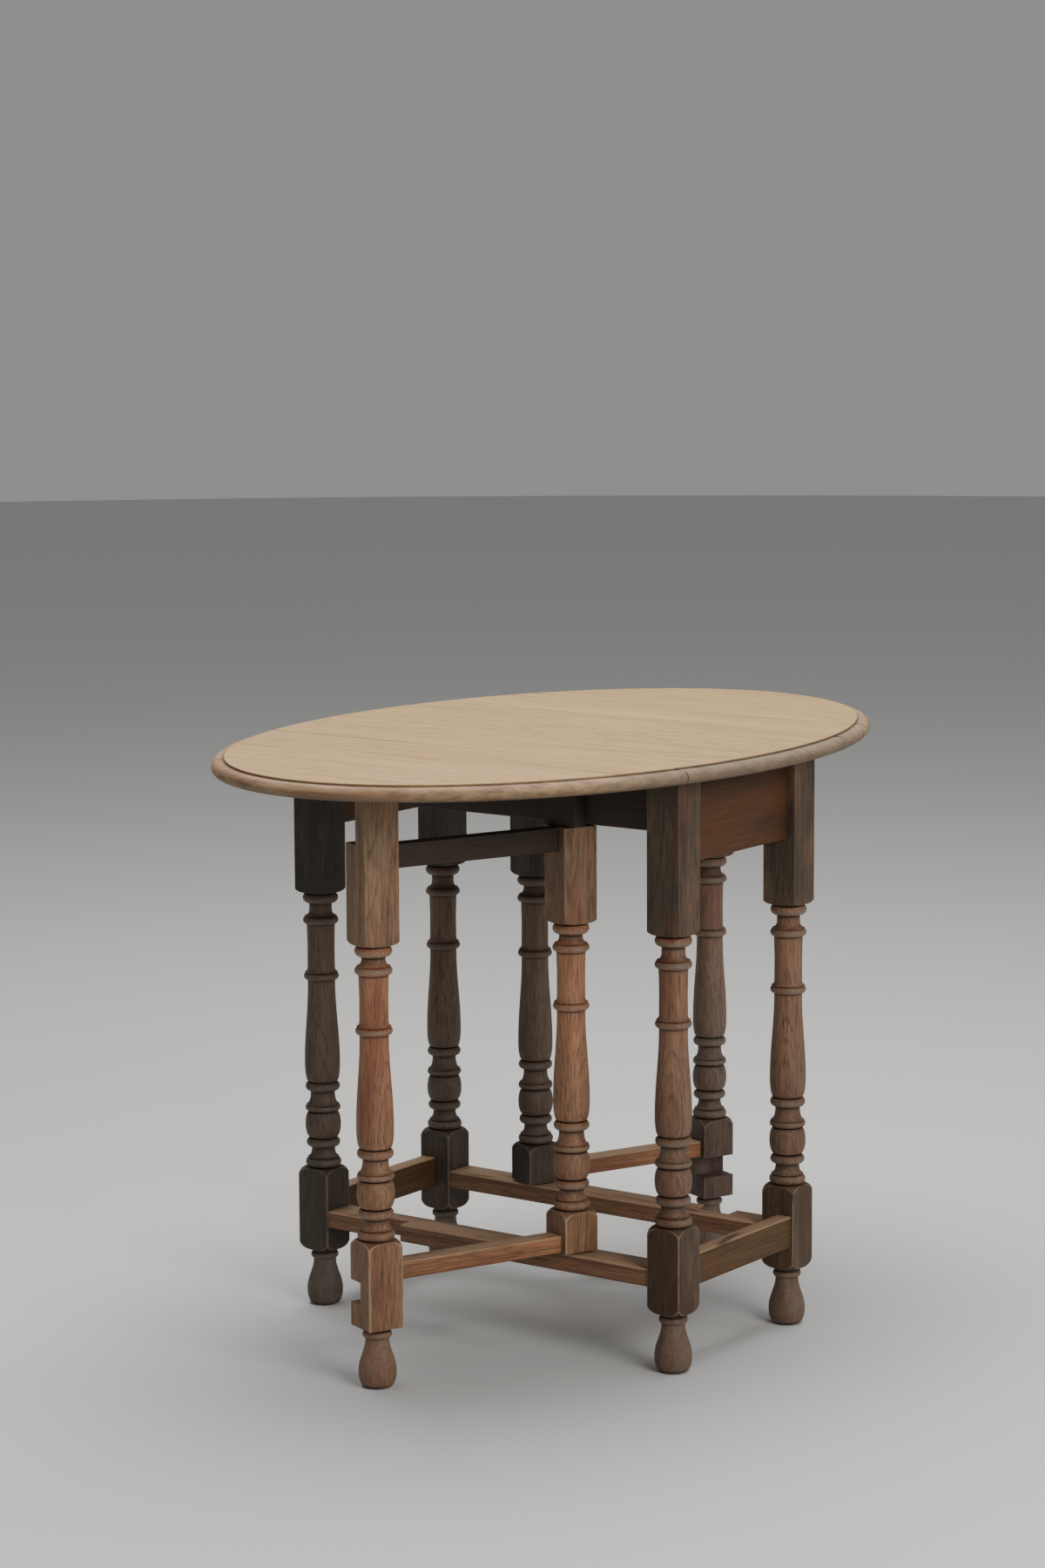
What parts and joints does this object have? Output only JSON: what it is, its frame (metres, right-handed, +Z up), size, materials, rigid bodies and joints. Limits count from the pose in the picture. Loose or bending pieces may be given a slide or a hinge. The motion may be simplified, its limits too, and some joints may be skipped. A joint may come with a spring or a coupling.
{
  "type": "drop leaf table",
  "caption": "Oval gate-leg table in oak: a centre board with two hinged leaves on rule joints, held up by swinging gates with turned legs and stretchers.",
  "frame": {"origin": "on the floor, under the middle of the oval top", "axes": "+X along the leaf joints, +Y across the leaves, +Z up"},
  "size_m": [0.664, 1.01, 0.725],
  "materials": {
    "top_oak": "pale stripped oak, open straight grain, dull bare surface",
    "leg_oak": "stripped oak with warm stain left in the pores, edges worn pale",
    "rail_oak": "stripped oak, reddish brown, worn pale on the top faces",
    "frame_oak": "oak in the shade of the top, dull brown",
    "hinge_steel": "old dull steel, brown at the edges",
    "screw_steel": "dull steel screws"
  },
  "bodies": {
    "frame": {"centre_board": "top_oak", "near_left_leg": "leg_oak", "near_right_leg": "leg_oak", "far_left_leg": "leg_oak", "far_right_leg": "leg_oak", "near_long_apron": "frame_oak", "far_long_apron": "frame_oak", "left_end_apron": "frame_oak", "right_end_apron": "frame_oak", "near_long_stretcher": "rail_oak", "far_long_stretcher": "rail_oak", "left_end_stretcher": "rail_oak", "right_end_stretcher": "rail_oak", "near_pivot_block": "frame_oak", "far_pivot_block": "frame_oak", "near_upper_pivot_pin": "hinge_steel", "near_lower_pivot_pin": "hinge_steel", "far_upper_pivot_pin": "hinge_steel", "far_lower_pivot_pin": "hinge_steel", "near_left_board_flap": "hinge_steel", "near_right_board_flap": "hinge_steel", "far_left_board_flap": "hinge_steel", "far_right_board_flap": "hinge_steel", "near_left_hinge_pin": "hinge_steel", "near_right_hinge_pin": "hinge_steel", "far_left_hinge_pin": "hinge_steel", "far_right_hinge_pin": "hinge_steel", "board_hinge_screws": "screw_steel", "top_screws": "screw_steel"},
    "near_gate": {"near_gate_post": "leg_oak", "near_gate_leg": "leg_oak", "near_gate_upper_rail": "rail_oak", "near_gate_lower_rail": "rail_oak"},
    "far_gate": {"far_gate_post": "leg_oak", "far_gate_leg": "leg_oak", "far_gate_upper_rail": "rail_oak", "far_gate_lower_rail": "rail_oak"},
    "near_leaf": {"near_leaf": "top_oak", "near_leaf_stop": "frame_oak", "near_left_leaf_flap": "hinge_steel", "near_right_leaf_flap": "hinge_steel", "near_leaf_hinge_screws": "screw_steel", "near_stop_screws": "screw_steel"},
    "far_leaf": {"far_leaf": "top_oak", "far_leaf_stop": "frame_oak", "far_left_leaf_flap": "hinge_steel", "far_right_leaf_flap": "hinge_steel", "far_leaf_hinge_screws": "screw_steel", "far_stop_screws": "screw_steel"}
  },
  "joints": [
    {"name": "near_gate_swing", "type": "hinge", "parent": "frame", "child": "near_gate", "pos_m": [0.116, -0.126, 0.3], "axis": [0, 0, 1], "range_deg": [-67, 0]},
    {"name": "far_gate_swing", "type": "hinge", "parent": "frame", "child": "far_gate", "pos_m": [-0.116, 0.126, 0.3], "axis": [0, 0, 1], "range_deg": [-67, 0]},
    {"name": "near_leaf_hinge", "type": "hinge", "parent": "frame", "child": "near_leaf", "pos_m": [0, -0.172, 0.71], "axis": [-1, 0, 0], "range_deg": [0, 1.5]},
    {"name": "far_leaf_hinge", "type": "hinge", "parent": "frame", "child": "far_leaf", "pos_m": [0, 0.172, 0.71], "axis": [1, 0, 0], "range_deg": [0, 1.5]}
  ]
}
